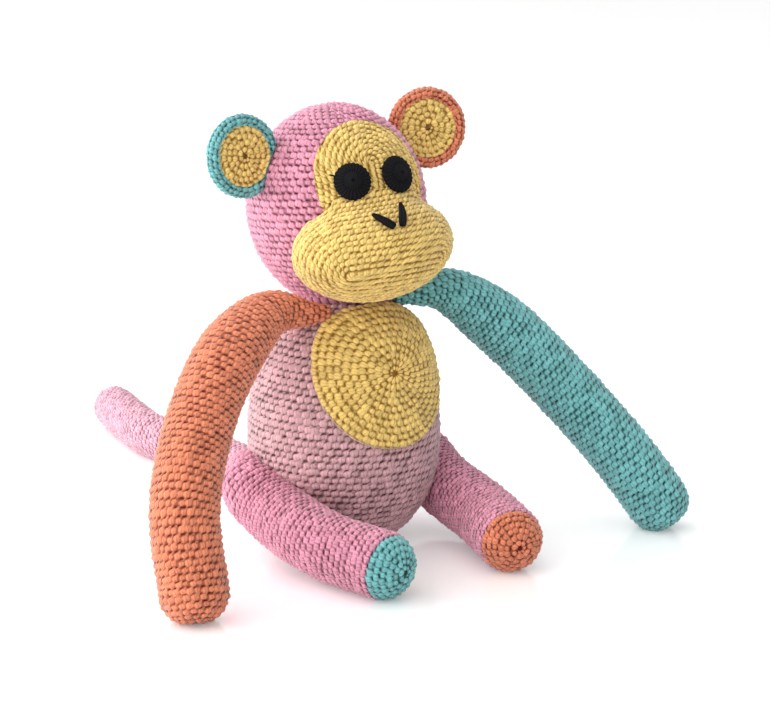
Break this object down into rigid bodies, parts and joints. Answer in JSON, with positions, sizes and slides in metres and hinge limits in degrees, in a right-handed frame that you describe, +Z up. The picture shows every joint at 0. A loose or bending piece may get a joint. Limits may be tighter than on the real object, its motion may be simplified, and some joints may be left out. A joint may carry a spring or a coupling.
{
  "type": "crochet toy monkey",
  "caption": "Stuffed crochet monkey that sits on the floor with long arms, short legs, round ears, a full muzzle and a long tail, sewn together so that head, limbs, ears and tail move.",
  "frame": {"origin": "on the floor, under the middle of the seat", "axes": "+Z up, -Y the way the body faces, +X the monkey's left"},
  "size_m": [0.3084, 0.391, 0.2327],
  "materials": {
    "pink_yarn": "matt cotton yarn, single crochet",
    "mauve_yarn": "matt cotton yarn, single crochet",
    "yellow_yarn": "matt cotton yarn, single crochet",
    "orange_yarn": "matt cotton yarn, single crochet",
    "teal_yarn": "matt cotton yarn, single crochet",
    "pale_pink_yarn": "matt cotton yarn, single crochet",
    "black_yarn": "matt cotton yarn",
    "fibrefill": "loose polyester fibre"
  },
  "bodies": {
    "body": {"body_cover": "mauve_yarn", "body_stuffing": "fibrefill", "belly_patch": "yellow_yarn"},
    "neck": {"neck_seam": "pink_yarn"},
    "head": {"head_cover": "pink_yarn", "head_stuffing": "fibrefill", "face_cover": "yellow_yarn", "muzzle_stuffing": "fibrefill", "eye_left": "black_yarn", "eye_right": "black_yarn", "nostril_left": "black_yarn", "nostril_right": "black_yarn"},
    "ear_left": {"ear_left_back": "orange_yarn", "ear_left_inner": "yellow_yarn"},
    "ear_right": {"ear_right_back": "teal_yarn", "ear_right_inner": "yellow_yarn"},
    "arm_left": {"arm_left_cover": "teal_yarn", "arm_left_stuffing": "fibrefill"},
    "arm_right": {"arm_right_cover": "orange_yarn", "arm_right_stuffing": "fibrefill"},
    "leg_left": {"leg_left_cover": "pink_yarn", "leg_left_toe_cap": "orange_yarn", "leg_left_stuffing": "fibrefill"},
    "leg_right": {"leg_right_cover": "pink_yarn", "leg_right_toe_cap": "teal_yarn", "leg_right_stuffing": "fibrefill"},
    "tail": {"tail_cover": "pale_pink_yarn", "tail_stuffing": "fibrefill"}
  },
  "joints": [
    {"name": "head_nod", "type": "hinge", "parent": "body", "child": "neck", "pos_m": [0, 0, 0.089], "axis": [1, 0, 0], "range_deg": [-8, 4], "stiffness_Nm_per_rad": 0.4},
    {"name": "head_turn", "type": "hinge", "parent": "neck", "child": "head", "pos_m": [0, 0, 0.089], "axis": [0, 0.0698, 0.9976], "range_deg": [-20, 20], "stiffness_Nm_per_rad": 0.15},
    {"name": "ear_left_fold", "type": "hinge", "parent": "head", "child": "ear_left", "pos_m": [0.03359, -0.00059, 0.21032], "axis": [-0.6059, 0.2209, 0.7642], "range_deg": [-20, 20], "stiffness_Nm_per_rad": 0.05},
    {"name": "ear_right_fold", "type": "hinge", "parent": "head", "child": "ear_right", "pos_m": [-0.03926, 0.00708, 0.20465], "axis": [0.5142, 0.1031, 0.8514], "range_deg": [-20, 20], "stiffness_Nm_per_rad": 0.05},
    {"name": "arm_left_swing", "type": "hinge", "parent": "body", "child": "arm_left", "pos_m": [0.0292, -0.02, 0.122], "axis": [-1, 0, 0], "range_deg": [0, 110]},
    {"name": "arm_right_swing", "type": "hinge", "parent": "body", "child": "arm_right", "pos_m": [-0.0292, -0.02, 0.122], "axis": [-1, 0, 0], "range_deg": [0, 110]},
    {"name": "leg_left_swing", "type": "hinge", "parent": "body", "child": "leg_left", "pos_m": [0.045, 0.0215, 0.037], "axis": [-0.7809, 0, 0.6247], "range_deg": [0, 35]},
    {"name": "leg_right_swing", "type": "hinge", "parent": "body", "child": "leg_right", "pos_m": [-0.045, 0.0215, 0.037], "axis": [-0.7809, 0, -0.6247], "range_deg": [0, 35]},
    {"name": "tail_wag", "type": "hinge", "parent": "body", "child": "tail", "pos_m": [0, 0.0436, 0.022], "axis": [0, 0, 1], "range_deg": [-35, 35], "stiffness_Nm_per_rad": 0.05}
  ]
}
